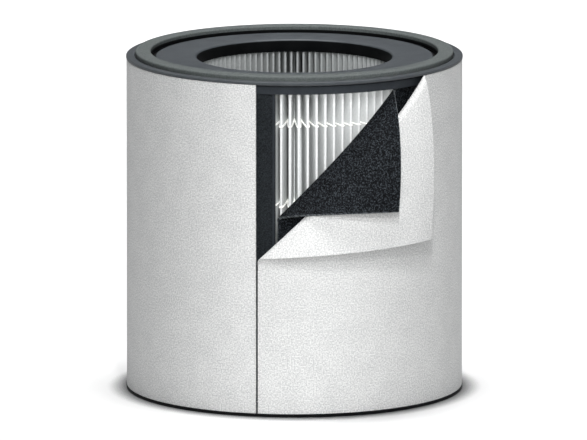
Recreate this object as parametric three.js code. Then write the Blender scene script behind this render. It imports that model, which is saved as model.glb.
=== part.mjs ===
// Drum filter cartridge for an air purifier.  Millimetres, +Z up, the seam faces -Y.
// From the inside out: an open core, one pleated strip of fine filter media potted into two
// moulded end caps, a carbon sheet, four staves with hook tape, and a fabric pre-filter.
// One corner of the two outer sheets is turned back, so that every layer can be seen.
import * as THREE from "three";

// ---------------------------------------------------------------- overall sizes
const HEIGHT = 264;               // bottom lip to the top of the sealing rim
const FLANGE_R = 130;             // both end caps, and the fabric between them
const OPENING_R = 75.4;           // the air opening in the top cap
const GAP = 0.3;                  // clearance between two pieces that touch

// ---------------------------------------------------------------- end caps
const RIM_STANDS = 3.5;           // sealing rim above the flange
const FLANGE_T = 2.1;
const DECK_DROP = 1.1;            // deck below the flange's top
const PLATE_T = 4.6;              // deck's top to the face that the glue bonds to
const LIP_T = 2.3;                // plate of the bottom cap
const WALL_T = 2.0;               // collar round the opening
const SKIRT_T = 2.5;              // rings of the cage
const FLANGE_OVERHANG = 5;        // flange beyond the cage rings
const SKIRT_DEPTH = 8.1;          // cage ring, below the flange
const COLLAR_DEPTH = 9.8;         // below the deck
const RIM_INNER_R = FLANGE_R - 19.1;
const RIM_OUTER_R = FLANGE_R - 7.2;
const SEAT_DEPTH = 2.4;           // rim's seat below the flange's top
const SEAT_T = 1.2;               // plastic under the seat, outside the plate
const GROOVE_DEPTH = 3.7;         // open groove inside the rim, below the flange's top
const GROOVE_W = 4.0;
const GROOVE_OUT = 0.7;           // narrow groove outside the rim
const UPSTAND_T = 2.2;            // wall of the bottom cap that centres its ring
const GLUE_T = 2.7;
const LEDGE = 3.4;                // ledge that the closing disc is pressed against
const LEDGE_T = 1.4;
const DISC_T = 1.6;
const BOSS_R = 12;                // boss in the disc's middle
const BOSS_H = 2;
const EDGE = 0.5;                 // softened edges of the mouldings

// ---------------------------------------------------------------- pleated strip
const PLEATS = 105;
const FOLD_W = 1.5;               // width of a fold at its tip
const MEDIA_T = 0.9;
const PLEAT_INSET = 7.3;          // outer folds inside the skirt's inner face
const BEADS = 4;                  // glue beads that hold the pleats apart
const BEAD_T = 1.2;

// ---------------------------------------------------------------- staves and sheets
const SEAM_AT = -12.5;            // degrees from the front: the fabric's turned-back end
const SEAM_GAP = 1.6;             // between the two ends of the fabric
const STAVE_LEFT = 9.8;           // seam stave, to the left of the seam
const STAVE_RIGHT = 11.9;         // and to its right
const STAVE_HALF = 9.1;           // half the width of the three other staves
const STAVES_AT = { right: 80, back: 170, left: 260 };
const TAPE_T = 1.1;
const TAPE_MARGIN = 1.7;          // stave left bare on each side of its tape
const FABRIC_T = 1.6;
const CARBON_T = 2.2;
const CARBON_CLEAR = 2.0;         // from the seam stave to the carbon sheet's two ends
const CARBON_INSET = 5;           // middle of the carbon's thickness inside the skirt's face
const CLIMB = 6.517;              // degrees the carbon flap rises for each mm between the sheets
const SEGMENTS = 60;

// ---------------------------------------------------------------- levels and radii
const SKIRT_R = FLANGE_R - FLANGE_OVERHANG;
const SKIRT_IN = SKIRT_R - SKIRT_T;
const Z_FLANGE = HEIGHT - RIM_STANDS;
const Z_UNDER = Z_FLANGE - FLANGE_T;
const Z_DECK = Z_FLANGE - DECK_DROP;
const Z_PLATE = Z_DECK - PLATE_T;
const Z_SKIRT = Z_UNDER - SKIRT_DEPTH;
const Z_COLLAR = Z_DECK - COLLAR_DEPTH;
const Z_LOW_SKIRT = LIP_T + SKIRT_DEPTH;
const Z_LOW_COLLAR = LIP_T + COLLAR_DEPTH;
const COLLAR_R = OPENING_R + WALL_T;
const PLEAT_OUT = SKIRT_IN - PLEAT_INSET - 0.2;
const PLEAT_IN = COLLAR_R + 0.4;
const PLEAT_Z0 = LIP_T + GLUE_T + 2 * GAP;
const PLEAT_Z1 = Z_PLATE - GLUE_T - 2 * GAP;
const FABRIC_R = FLANGE_R - GAP - FABRIC_T / 2;  // middle of the fabric's thickness
const CARBON_R = SKIRT_R - CARBON_INSET;
const FABRIC_Z0 = LIP_T + GAP, FABRIC_Z1 = Z_UNDER - GAP;
const CARBON_Z0 = Z_LOW_SKIRT + GAP, CARBON_Z1 = Z_SKIRT - 0.2;
const GLUE_R = SKIRT_IN - UPSTAND_T - 3 * GAP;
const RAD = Math.PI / 180;
const degrees = (mm, r) => mm / r / RAD;
const STAVE_FROM = SEAM_AT - degrees(STAVE_LEFT, SKIRT_R);
const STAVE_TO = SEAM_AT + degrees(STAVE_RIGHT, SKIRT_R);
const CARBON_AT = STAVE_TO + degrees(CARBON_CLEAR, CARBON_R);
const CARBON_TO = 360 + STAVE_FROM - degrees(CARBON_CLEAR, CARBON_R);

// A turned-back corner.  a: the fold's end on the top edge, measured from the sheet's end; b: its
// end on the upright edge, measured down; roll: radius of the bend at a and at b; short: how much
// less than half a turn the bend makes (degrees); curl: curvature of the flap, 1/mm; reach: how far
// the flap spreads, 1 when it lies flat; lean: sideways shift along the fold for each mm.
const FABRIC_FOLD = {
  R: FABRIC_R, T: FABRIC_T, at: SEAM_AT, top: FABRIC_Z1,
  a: 144.9, b: 145.4,
  roll: [3.4, 5.8], short: 19.8, curl: 0.0039, reach: 0.91, lean: -0.085,
};
const CARBON_FOLD = {
  R: CARBON_R, T: CARBON_T, at: CARBON_AT, top: CARBON_Z1,
  a: 101.3, b: 101.9,
  roll: [5.6, 2.8], short: CLIMB * (FABRIC_R - CARBON_R), curl: 0.0115, reach: 1.07, lean: 0.057,
};

const onArc = (r, deg, z) => [r * Math.sin(deg * RAD), -r * Math.cos(deg * RAD), z];

// ---------------------------------------------------------------- solids
// Closed solid from points and triangles; turned inside out when its volume comes out negative.
function solid(points, faces) {
  let volume = 0;
  for (const [i, j, k] of faces) {
    const [a, b, c] = [points[i], points[j], points[k]];
    volume += a[0] * (b[1] * c[2] - b[2] * c[1]) - a[1] * (b[0] * c[2] - b[2] * c[0])
      + a[2] * (b[0] * c[1] - b[1] * c[0]);
  }
  const turned = volume < 0 ? faces.map(([i, j, k]) => [i, k, j]) : faces;
  const geometry = new THREE.BufferGeometry();
  geometry.setAttribute("position", new THREE.Float32BufferAttribute(points.flat(), 3));
  geometry.setIndex(turned.flat());
  geometry.computeVertexNormals();
  return geometry;
}

// A closed profile of [radius, z] points carried round the axis, in a ring or over part of it.
// A radius of 0 makes a single point on the axis.
function sweep(profile, from = 0, to = 360, steps = SEGMENTS) {
  const ring = to - from >= 360;
  const columns = ring ? steps : steps + 1;
  const points = [], faces = [], index = [];
  for (let i = 0; i < columns; i++) {
    index.push(profile.map(([r, z], j) => {
      if (r < 1e-6 && i > 0) return index[0][j];
      points.push(onArc(r, from + (to - from) * i / steps, z));
      return points.length - 1;
    }));
  }
  const quad = (a, b, c, d) => {
    for (const f of [[a, b, c], [a, c, d]]) if (new Set(f).size === 3) faces.push(f);
  };
  for (let i = 0; i < steps; i++) {
    const here = index[i], next = index[(i + 1) % columns];
    for (let j = 0; j < profile.length; j++) {
      const k = (j + 1) % profile.length;
      quad(here[j], next[j], next[k], here[k]);
    }
  }
  if (!ring) {
    const flat = profile.map(([r, z]) => new THREE.Vector2(r, z));
    for (const [a, b, c] of THREE.ShapeUtils.triangulateShape(flat, [])) {
      const first = index[0], last = index[columns - 1];
      faces.push([first[a], first[b], first[c]], [last[a], last[c], last[b]]);
    }
    fixCaps(points, faces, profile, columns);
  }
  return solid(points, faces);
}

// The end faces must run the other way round the profile than the side faces beside them.
function fixCaps(points, faces, profile, columns) {
  const side = new Set();
  const caps = faces.splice(faces.length - 2 * (profile.length - 2));
  for (const f of faces) for (let e = 0; e < 3; e++) side.add(`${f[e]},${f[(e + 1) % 3]}`);
  for (const end of [0, 1]) {
    const mine = caps.filter((_, i) => i % 2 === end);
    const clash = mine.some((f) => f.some((v, e) => side.has(`${v},${f[(e + 1) % 3]}`)));
    for (const [a, b, c] of mine) faces.push(clash ? [a, c, b] : [a, b, c]);
  }
}

// A slab between two grids of points of the same size, closed along its four edges.
function slab(over, under) {
  const rows = over.length, cols = over[0].length;
  const points = [...over.flat(), ...under.flat()];
  const at = (i, j, low) => (low ? rows * cols : 0) + i * cols + j;
  const faces = [];
  const quad = (a, b, c, d) => faces.push([a, b, c], [a, c, d]);
  for (let i = 0; i + 1 < rows; i++) {
    for (let j = 0; j + 1 < cols; j++) {
      quad(at(i, j, 0), at(i + 1, j, 0), at(i + 1, j + 1, 0), at(i, j + 1, 0));
      quad(at(i, j, 1), at(i, j + 1, 1), at(i + 1, j + 1, 1), at(i + 1, j, 1));
    }
  }
  for (let i = 0; i + 1 < rows; i++) {
    quad(at(i, 0, 0), at(i, 0, 1), at(i + 1, 0, 1), at(i + 1, 0, 0));
    quad(at(i, cols - 1, 0), at(i + 1, cols - 1, 0), at(i + 1, cols - 1, 1), at(i, cols - 1, 1));
  }
  for (let j = 0; j + 1 < cols; j++) {
    quad(at(0, j, 0), at(0, j + 1, 0), at(0, j + 1, 1), at(0, j, 1));
    quad(at(rows - 1, j, 0), at(rows - 1, j, 1), at(rows - 1, j + 1, 1), at(rows - 1, j + 1, 0));
  }
  return solid(points, faces);
}

const parts = [];
function add(name, geometry, color, roughness = 0.7) {
  const mesh = new THREE.Mesh(geometry, new THREE.MeshStandardMaterial({ color, roughness }));
  mesh.name = name;
  parts.push(mesh);
}

// ---------------------------------------------------------------- top cap and its sealing rim
const seatZ = Z_FLANGE - SEAT_DEPTH, grooveZ = Z_FLANGE - GROOVE_DEPTH;
const shoulderZ = seatZ - SEAT_T;
add("top_cap", sweep([
  [OPENING_R, Z_COLLAR], [COLLAR_R, Z_COLLAR], [COLLAR_R, Z_PLATE], [SKIRT_IN - GAP, Z_PLATE],
  [SKIRT_IN - GAP, shoulderZ], [SKIRT_R, shoulderZ], [SKIRT_R, Z_UNDER], [FLANGE_R, Z_UNDER],
  [FLANGE_R, Z_FLANGE - EDGE], [FLANGE_R - EDGE, Z_FLANGE],
  [RIM_OUTER_R + GROOVE_OUT, Z_FLANGE], [RIM_OUTER_R + GROOVE_OUT, seatZ],
  [RIM_INNER_R, seatZ], [RIM_INNER_R, grooveZ],
  [RIM_INNER_R - GROOVE_W, grooveZ], [RIM_INNER_R - GROOVE_W, Z_DECK - EDGE],
  [RIM_INNER_R - GROOVE_W - EDGE, Z_DECK], [OPENING_R + 2 * EDGE, Z_DECK],
  [OPENING_R + 0.3 * EDGE, Z_DECK - 0.6 * EDGE], [OPENING_R, Z_DECK - 2 * EDGE],
]), 0x5c6163, 0.75);

add("rim_seal", sweep([
  [RIM_INNER_R, seatZ + GAP], [RIM_OUTER_R, seatZ + GAP], [RIM_OUTER_R, HEIGHT - 2 * EDGE],
  [RIM_OUTER_R - 0.6 * EDGE, HEIGHT - 0.6 * EDGE], [RIM_OUTER_R - 2 * EDGE, HEIGHT],
  [RIM_INNER_R + 2 * EDGE, HEIGHT], [RIM_INNER_R + 0.6 * EDGE, HEIGHT - 0.6 * EDGE],
  [RIM_INNER_R, HEIGHT - 2 * EDGE],
]), 0x7f8483, 0.9);

// ---------------------------------------------------------------- bottom cap and closing disc
const ledgeZ = DISC_T + GAP;
const upstandIn = SKIRT_IN - GAP - UPSTAND_T, upstandZ = PLEAT_Z0 - GAP;
add("bottom_cap", sweep([
  [OPENING_R, 0], [FLANGE_R, 0], [FLANGE_R, LIP_T], [SKIRT_IN - GAP, LIP_T],
  [SKIRT_IN - GAP, upstandZ], [upstandIn, upstandZ], [upstandIn, LIP_T], [COLLAR_R, LIP_T],
  [COLLAR_R, Z_LOW_COLLAR], [OPENING_R, Z_LOW_COLLAR], [OPENING_R, ledgeZ + LEDGE_T],
  [OPENING_R - LEDGE, ledgeZ + LEDGE_T], [OPENING_R - LEDGE, ledgeZ], [OPENING_R, ledgeZ],
]), 0x1d1f22, 0.6);

add("closing_disc", sweep([
  [0, 0], [OPENING_R - GAP, 0], [OPENING_R - GAP, DISC_T], [BOSS_R + BOSS_H, DISC_T],
  [BOSS_R, DISC_T + BOSS_H], [0, DISC_T + BOSS_H],
]), 0x24272a, 0.6);

// ---------------------------------------------------------------- rings of the cage
// The staves stand between these two rings, which the caps centre.
const ringOf = (r0, r1, z0, z1) => [[r0, z0], [r1, z0], [r1, z1], [r0, z1]];
add("cage_ring_top", sweep(ringOf(SKIRT_IN, SKIRT_R, Z_SKIRT, shoulderZ - GAP)), 0x34383b, 0.6);
add("cage_ring_bottom", sweep(ringOf(SKIRT_IN, SKIRT_R, LIP_T + GAP, Z_LOW_SKIRT)), 0x34383b, 0.6);

// ---------------------------------------------------------------- glue rings at both ends
add("glue_ring_top", sweep(ringOf(COLLAR_R + GAP, GLUE_R, PLEAT_Z1 + GAP, Z_PLATE - GAP)), 0xe9e6dc);
add("glue_ring_bottom", sweep(ringOf(COLLAR_R + GAP, GLUE_R, LIP_T + GAP, PLEAT_Z0 - GAP)), 0xe9e6dc);

// ---------------------------------------------------------------- the pleated strip
// Each fold is two points at its tip and one on the strip's other face behind it.
function pleatedStrip() {
  const outer = [], inner = [], step = 360 / PLEATS;
  for (let i = 0; i < PLEATS; i++) {
    const peak = (i + 0.5) * step, valley = peak + step / 2;  // a valley faces the front
    const halfOut = FOLD_W / 2 / PLEAT_OUT / RAD, halfIn = FOLD_W / 2 / PLEAT_IN / RAD;
    outer.push([PLEAT_OUT, peak - halfOut], [PLEAT_OUT, peak + halfOut], [PLEAT_IN + MEDIA_T, valley]);
    inner.push([PLEAT_OUT - MEDIA_T, peak], [PLEAT_IN, valley - halfIn], [PLEAT_IN, valley + halfIn]);
  }
  const n = outer.length, points = [], faces = [];
  for (const z of [PLEAT_Z0, PLEAT_Z1]) {
    for (const ring of [outer, inner]) for (const [r, deg] of ring) points.push(onArc(r, deg, z));
  }
  const at = (level, ring, j) => (2 * level + ring) * n + (j % n);
  const quad = (a, b, c, d) => faces.push([a, b, c], [a, c, d]);
  for (let j = 0; j < n; j++) {
    quad(at(0, 0, j), at(0, 0, j + 1), at(1, 0, j + 1), at(1, 0, j));
    quad(at(0, 1, j), at(1, 1, j), at(1, 1, j + 1), at(0, 1, j + 1));
  }
  // end faces: the strip's edge, joined point by point so that no triangle leaves the strip
  for (let i = 0; i < PLEATS; i++) {
    const o = 3 * i, p = 3 * i;
    const edge = [
      [[0, o], [0, o + 1], [1, p]], [[0, o + 1], [1, p + 1], [1, p]],
      [[0, o + 1], [0, o + 2], [1, p + 1]], [[0, o + 2], [1, p + 2], [1, p + 1]],
      [[0, o + 2], [0, o + 3], [1, p + 2]], [[0, o + 3], [1, p + 3], [1, p + 2]],
    ];
    for (const tri of edge) {
      const [a, b, c] = tri;
      faces.push([at(0, ...a), at(0, ...c), at(0, ...b)], [at(1, ...a), at(1, ...b), at(1, ...c)]);
    }
  }
  return solid(points, faces);
}
add("pleated_media", pleatedStrip(), 0xf4f4f2, 0.95);

const beadPitch = (Z_SKIRT - Z_LOW_SKIRT) / (BEADS - 0.17);
for (let i = 0; i < BEADS; i++) {
  const z = Z_SKIRT - 0.425 * beadPitch - i * beadPitch;
  add(`glue_bead_${i + 1}`, sweep(ringOf(PLEAT_OUT + GAP, PLEAT_OUT + GAP + BEAD_T,
    z - BEAD_T / 2, z + BEAD_T / 2)), 0xfafaf6, 0.5);
}
// the strip's two ends are joined by a narrow tape on the inner folds
add("splice_tape", sweep(ringOf(OPENING_R - 0.4, PLEAT_IN - GAP, Z_LOW_COLLAR + GAP, Z_COLLAR - GAP),
  -3, 3, 3), 0xe4e2da, 0.6);

// ---------------------------------------------------------------- staves with hook tape
function stave(rIn, rOut, from, to) {
  const tongue = SKIRT_IN - GAP, z0 = Z_LOW_SKIRT + GAP, z1 = Z_SKIRT - GAP;
  return sweep([
    [rIn, PLEAT_Z0], [tongue, PLEAT_Z0], [tongue, z0], [rOut, z0], [rOut, z1], [tongue, z1],
    [tongue, PLEAT_Z1], [rIn, PLEAT_Z1],
  ], from, to, 3);
}
const tapeZ = [CARBON_Z0 + 0.3, CARBON_Z1 - 0.4];
add("stave_front", stave(PLEAT_OUT + BEAD_T + 3 * GAP, SKIRT_R - TAPE_T - GAP, STAVE_FROM, STAVE_TO),
  0x26292c, 0.6);
const margin = degrees(TAPE_MARGIN, SKIRT_R), half = degrees(STAVE_HALF, SKIRT_R);
add("hook_tape_front", sweep(ringOf(SKIRT_R - TAPE_T, SKIRT_R, ...tapeZ),
  STAVE_FROM + margin, STAVE_TO - margin, 3), 0x2b2e31, 0.95);
const tapeOut = FABRIC_R - FABRIC_T / 2 - GAP;
for (const [side, deg] of Object.entries(STAVES_AT)) {
  add(`stave_${side}`, stave(CARBON_R + CARBON_T / 2 + GAP, tapeOut - TAPE_T - GAP, deg - half,
    deg + half), 0x26292c, 0.6);
  add(`hook_tape_${side}`, sweep(ringOf(tapeOut - TAPE_T, tapeOut, ...tapeZ),
    deg - half + margin, deg + half - margin, 3), 0x2b2e31, 0.95);
}
// loop tape under the fabric's fixed end, which closes the seam on the front stave
const fixedEnd = SEAM_AT - degrees(SEAM_GAP, FABRIC_R);
add("loop_tape", sweep(ringOf(SKIRT_R + GAP, tapeOut, ...tapeZ),
  STAVE_FROM + margin, fixedEnd - margin / 2, 2), 0xc9cbca, 0.95);

// ---------------------------------------------------------------- sheets with a turned-back corner
const foldLength = (f) => Math.hypot(f.a, f.b);

// Point of a turned-back sheet: t is the distance from the fold towards the corner, q the
// distance along the fold from its end on the top edge.  The sheet first bends round a roll,
// then runs back over itself in a shallow curve; all of it follows the drum.
function turned(f, t, q) {
  const L = foldLength(f), e = [-f.a / L, f.b / L], n = [f.b / L, f.a / L];
  const share = Math.min(1.2, Math.max(-0.2, q / L));
  const rho = f.roll[0] + (f.roll[1] - f.roll[0]) * share;
  const bend = Math.PI - f.short * RAD, rolled = rho * bend;
  const angle = Math.min(t, rolled) / rho, beyond = Math.max(t - rolled, 0);
  const end = bend + beyond * f.curl;
  const across = -rho * Math.sin(angle) + f.reach * (Math.sin(bend) - Math.sin(end)) / f.curl;
  const height = rho * (1 - Math.cos(angle)) + (Math.cos(bend) - Math.cos(end)) / f.curl;
  const along = q + f.lean * beyond;
  const u = f.a + along * e[0], v = along * e[1];
  const deg = f.at + (u / f.R + across * n[0] / (f.R + height)) / RAD;
  return onArc(f.R + height, deg, f.top - v - across * n[1]);
}

// A strip of the corner between two distances from the fold.  A distance is given as part of
// the bend (0 to 1) and then part of the flap (1 to 2); gaps are left at the strip's two edges.
function corner(f, from, to, rows, cols, gapFrom, gapTo) {
  const L = foldLength(f), last = f.a * f.b / L - 1.2, over = [], under = [];
  for (let i = 0; i <= rows; i++) {
    const part = from + (to - from) * i / rows, top = [], low = [];
    for (let j = 0; j <= cols; j++) {
      let q = L * j / cols, t = 0;
      for (let pass = 0; pass < 6; pass++) {
        const rho = f.roll[0] + (f.roll[1] - f.roll[0]) * q / L;
        const rolled = rho * (Math.PI - f.short * RAD);
        t = part <= 1 ? part * rolled : rolled + (part - 1) * (last - rolled);
        t += i === 0 ? gapFrom : i === rows ? -gapTo : 0;
        const q0 = t * f.a / f.b, q1 = L - t * f.b / f.a;
        q = q0 + (q1 - q0) * j / cols;
      }
      const p = turned(f, t, q), pt = turned(f, t + 0.01, q), pq = turned(f, t, q + 0.01);
      const dt = pt.map((c, k) => c - p[k]), dq = pq.map((c, k) => c - p[k]);
      const n = new THREE.Vector3(...dt).cross(new THREE.Vector3(...dq)).normalize();
      top.push(p.map((c, k) => c + n.getComponent(k) * f.T / 2));
      low.push(p.map((c, k) => c - n.getComponent(k) * f.T / 2));
    }
    over.push(top);
    under.push(low);
  }
  return slab(over, under);
}

// The rest of the sheet round the drum, cut away along the fold.
function wrap(f, z0, endDeg) {
  const angles = [], foldDeg = f.a / f.R / RAD, cut = 10;
  for (let i = 0; i <= cut; i++) angles.push(foldDeg * i / cut);
  const rest = Math.ceil((endDeg - f.at - foldDeg) / (360 / SEGMENTS));
  for (let i = 1; i <= rest; i++) angles.push(foldDeg + (endDeg - f.at - foldDeg) * i / rest);
  const side = (r) => angles.map((deg) => {
    const drop = Math.max(0, f.b * (1 - deg / foldDeg)) + (deg <= foldDeg ? 0.25 : 0);
    return [onArc(r, f.at + deg, z0), onArc(r, f.at + deg, f.top - drop)];
  });
  return slab(side(f.R + f.T / 2), side(f.R - f.T / 2));
}

const sheets = [
  ["carbon", CARBON_FOLD, CARBON_Z0, CARBON_TO, 0x1a1b1c],
  ["prefilter", FABRIC_FOLD, FABRIC_Z0, 360 + fixedEnd, 0xe3e5e4],
];
for (const [name, fold, z0, end, color] of sheets) {
  add(`${name}_wrap`, wrap(fold, z0, end), color, 0.95);
  add(`${name}_bend`, corner(fold, 0, 1, 6, 8, 0.15, 0.15), color, 0.95);
  add(`${name}_flap`, corner(fold, 1, 2, 7, 8, 0.15, 0), color, 0.95);
}

const filterDrum = new THREE.Group();
filterDrum.name = "filter_drum";
filterDrum.add(...parts);
export default filterDrum;
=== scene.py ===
# %% [markdown]
# # The filter drum of an air purifier
# The drum is a cartridge that slides into a room air purifier. Air is drawn in through its
# outside and leaves upwards through the open core. From the outside in it has a fabric
# pre-filter, a sheet with activated carbon, and a long strip of pleated fine media that is
# glued into two moulded end caps. One corner of the two outer sheets is turned back here, so
# that all three layers can be seen.
#
# The CAD model is loaded first. It fixes every size and place, and the Blender pieces are
# made on it.

# %% Load the frame
import math

import bpy
import numpy as np
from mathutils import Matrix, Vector


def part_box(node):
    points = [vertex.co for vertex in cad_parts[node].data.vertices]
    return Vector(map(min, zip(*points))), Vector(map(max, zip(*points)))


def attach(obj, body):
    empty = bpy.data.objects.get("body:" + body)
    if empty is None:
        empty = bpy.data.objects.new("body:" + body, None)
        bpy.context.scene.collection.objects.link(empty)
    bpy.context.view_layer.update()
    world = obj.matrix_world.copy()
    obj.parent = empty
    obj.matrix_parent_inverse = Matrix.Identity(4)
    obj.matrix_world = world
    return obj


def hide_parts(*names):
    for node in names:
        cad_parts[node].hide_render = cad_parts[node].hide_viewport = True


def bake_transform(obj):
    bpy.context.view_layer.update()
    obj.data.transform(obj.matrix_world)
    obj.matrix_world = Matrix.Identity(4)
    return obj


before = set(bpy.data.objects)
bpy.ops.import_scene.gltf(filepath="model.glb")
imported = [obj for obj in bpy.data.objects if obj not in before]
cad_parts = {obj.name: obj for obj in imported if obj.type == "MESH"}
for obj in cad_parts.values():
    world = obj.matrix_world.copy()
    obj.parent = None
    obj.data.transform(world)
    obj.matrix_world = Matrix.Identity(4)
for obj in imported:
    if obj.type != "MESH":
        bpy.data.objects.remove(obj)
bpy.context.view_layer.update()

# %% [markdown]
# ## Sizes
# Lengths in this file are in millimetres, because that is how such a part is drawn, and they
# are turned to metres once, where a mesh is made. Radii and levels come from the boxes of the
# CAD nodes, so that the pieces fit without being fitted.

# %% Radii and levels
MM = 0.001


def box_mm(node_name):
    """Lowest and highest corner of a CAD node, in millimetres."""
    low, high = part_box(node_name)
    return np.array(low) / MM, np.array(high) / MM


cap_low, cap_high = box_mm("top_cap")
ring_low, ring_high = box_mm("cage_ring_top")
media_low, media_high = box_mm("pleated_media")
rim_high = box_mm("rim_seal")[1]
GAP = 0.3            # between two CAD pieces that touch
FLANGE_R, MEDIA_R, CAGE_R = cap_high[0], media_high[0], ring_high[0]
OPENING_R = 75.4
WALL = 2.0           # collar round the opening
CAGE_T = 2.5         # wall of the cage's rings
CAGE_IN = CAGE_R - CAGE_T
FLANGE_T, DECK_DROP, PLATE_T = 2.1, 1.1, 4.6
Z_FLANGE, Z_UNDER, Z_DECK = cap_high[2], cap_high[2] - FLANGE_T, cap_high[2] - DECK_DROP
Z_PLATE, Z_CAGE, Z_COLLAR = Z_DECK - PLATE_T, ring_low[2], cap_low[2]
RIM_W = 11.9
RIM_IN, RIM_OUT, Z_RIM = rim_high[0] - RIM_W, rim_high[0], rim_high[2]
LIP = 2.3            # plate of the bottom cap
CAGE_DEPTH = 8.1     # height of the lower cage ring over that plate
MEDIA_IN = OPENING_R + WALL + 0.4
FABRIC_T, CARBON_T = 1.6, 2.2
FABRIC_R, CARBON_R = FLANGE_R - GAP - FABRIC_T / 2, CAGE_R - 5.0
FABRIC_Z0, FABRIC_Z1 = LIP + GAP, Z_UNDER - GAP
CARBON_Z0, CARBON_Z1 = LIP + CAGE_DEPTH + GAP, Z_CAGE - 0.2
print(f"drum {2 * FLANGE_R:.1f} mm across and {Z_RIM:.1f} mm high")


def on_arc(radius, degrees, height):
    """Point of the drum: radius from its axis, angle from the front (-Y) towards +X, height."""
    angle = np.radians(degrees)
    radius, angle, height = np.broadcast_arrays(radius, angle, height)
    return np.stack([radius * np.sin(angle), -radius * np.cos(angle), height], axis=-1)


# %% [markdown]
# ## From arrays to meshes
# Each new piece is a grid of points worked out with numpy. A grid becomes a mesh when
# neighbouring points are joined in fours, and a sheet becomes a closed solid when a second
# grid under the first is joined to it all round the edge. Building the arrays whole, and
# writing them with foreach_set, takes milliseconds even for a hundred thousand faces.


# %% Grids, shells and meshes
def grid_quads(rows, cols, close_rows=False, close_cols=False):
    """Indices of the four corners of every cell of a grid; a closed direction wraps round."""
    i = np.arange(rows if close_rows else rows - 1)[:, None]
    j = np.arange(cols if close_cols else cols - 1)[None, :]
    down, right = (i + 1) % rows, (j + 1) % cols
    cells = np.stack([i * cols + j, down * cols + j, down * cols + right, i * cols + right], -1)
    return cells.reshape(-1, 4)


def make_piece(name, points, quads, triangles=None, uv=None, sharp=40):
    """Mesh object from points in millimetres and faces; uv gives each point its flat place.

    The signed volume, a sum of triple products over the faces, tells whether the faces point
    inwards, and they are turned when it is negative. On a closed surface whose faces all turn
    the same way, every edge is run once in each direction, so edges without a partner are
    counted as open.
    """
    points = np.asarray(points, float).reshape(-1, 3)
    triangles = np.zeros((0, 3), int) if triangles is None else triangles
    fans = np.concatenate([quads[:, :3], quads[:, [0, 2, 3]], triangles])
    a, b, c = (points[fans[:, k]] for k in range(3))
    volume = np.einsum("ij,ij->", a, np.cross(b, c)) / 6
    if volume < 0:
        quads, triangles = quads[:, ::-1], triangles[:, ::-1]
    run = np.concatenate([fans[:, [0, 1]], fans[:, [1, 2]], fans[:, [2, 0]]]).astype(np.int64)
    unpaired = np.setxor1d(run @ [len(points), 1], run @ [1, len(points)]).size // 2
    corners = np.concatenate([quads.ravel(), triangles.ravel()]).astype(np.int32)
    sides = np.concatenate([np.full(len(quads), 4), np.full(len(triangles), 3)])
    mesh = bpy.data.meshes.new(name)
    mesh.vertices.add(len(points))
    mesh.vertices.foreach_set("co", (points * MM).ravel())
    mesh.loops.add(len(corners))
    mesh.loops.foreach_set("vertex_index", corners)
    mesh.polygons.add(len(sides))
    mesh.polygons.foreach_set("loop_start", (np.cumsum(sides) - sides).astype(np.int32))
    if uv is not None:
        flat = np.asarray(uv, float).reshape(-1, 2) * MM
        mesh.uv_layers.new(name="flat").data.foreach_set("uv", flat[corners].ravel())
    mesh.update(calc_edges=True)
    mesh.validate()
    mesh.shade_smooth()
    mesh.set_sharp_from_angle(angle=math.radians(sharp))
    made = bpy.data.objects.new(name, mesh)
    bpy.context.scene.collection.objects.link(made)
    print(f"{name}: {len(sides)} faces, {unpaired} open edges, {abs(volume) / 1000:.1f} cm3")
    return made


def closed_shell(over, under):
    """Points and quads of the solid between two grids of the same shape."""
    rows, cols = over.shape[:2]
    index = np.arange(rows * cols).reshape(rows, cols)
    rim = np.concatenate([index[0, :-1], index[:-1, -1], index[-1, :0:-1], index[:0:-1, 0]])
    after, shift = np.roll(rim, -1), rows * cols
    walls = np.stack([rim, after, after + shift, rim + shift], axis=1)
    top = grid_quads(rows, cols)
    low = top[:, ::-1] + shift
    quads = np.concatenate([top, low, walls])
    return np.concatenate([over.reshape(-1, 3), under.reshape(-1, 3)]), quads


def fillet(corners, radii, steps=5):
    """Closed profile with round corners.

    Each corner is replaced by a curve between the points where its rounding starts on the two
    edges: the quadratic blend (1-s)^2 start + 2s(1-s) corner + s^2 end.
    """
    corners = np.asarray(corners, float)
    radii = np.broadcast_to(radii, len(corners)).astype(float)
    before, after = np.roll(corners, 1, axis=0) - corners, np.roll(corners, -1, axis=0) - corners
    long_before = np.linalg.norm(before, axis=1)
    long_after = np.linalg.norm(after, axis=1)
    reach = np.minimum(radii, 0.45 * np.minimum(long_before, long_after))[:, None]
    start = corners + before / long_before[:, None] * reach
    end = corners + after / long_after[:, None] * reach
    s = np.linspace(0, 1, steps)[None, :, None]
    curve = (1 - s) ** 2 * start[:, None] + 2 * s * (1 - s) * corners[:, None] + s ** 2 * end[:, None]
    return curve.reshape(-1, 2)


def turned_ring(name, profile, columns=288, sharp=40):
    """A closed profile of (radius, height) points carried once round the drum's axis."""
    degrees = np.arange(columns)[:, None] * 360 / columns
    points = on_arc(profile[None, :, 0], degrees, profile[None, :, 1])
    return make_piece(name, points, grid_quads(columns, len(profile), True, True), sharp=sharp)


# %% [markdown]
# ## Materials
# Every material starts from what the real one is. Colours are written as sRGB hex values and
# turned to linear light by one function. One small function adds a shader node with its
# settings and links, which keeps each recipe short enough to read.


# %% Colour and node helpers
def linear(hex_colour):
    """Linear RGBA of an sRGB hex colour: each channel undoes the standard's power curve."""
    channels = [int(hex_colour[k:k + 2], 16) / 255 for k in (0, 2, 4)]
    return (*[c / 12.92 if c <= 0.04045 else ((c + 0.055) / 1.055) ** 2.4 for c in channels], 1)


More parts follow.
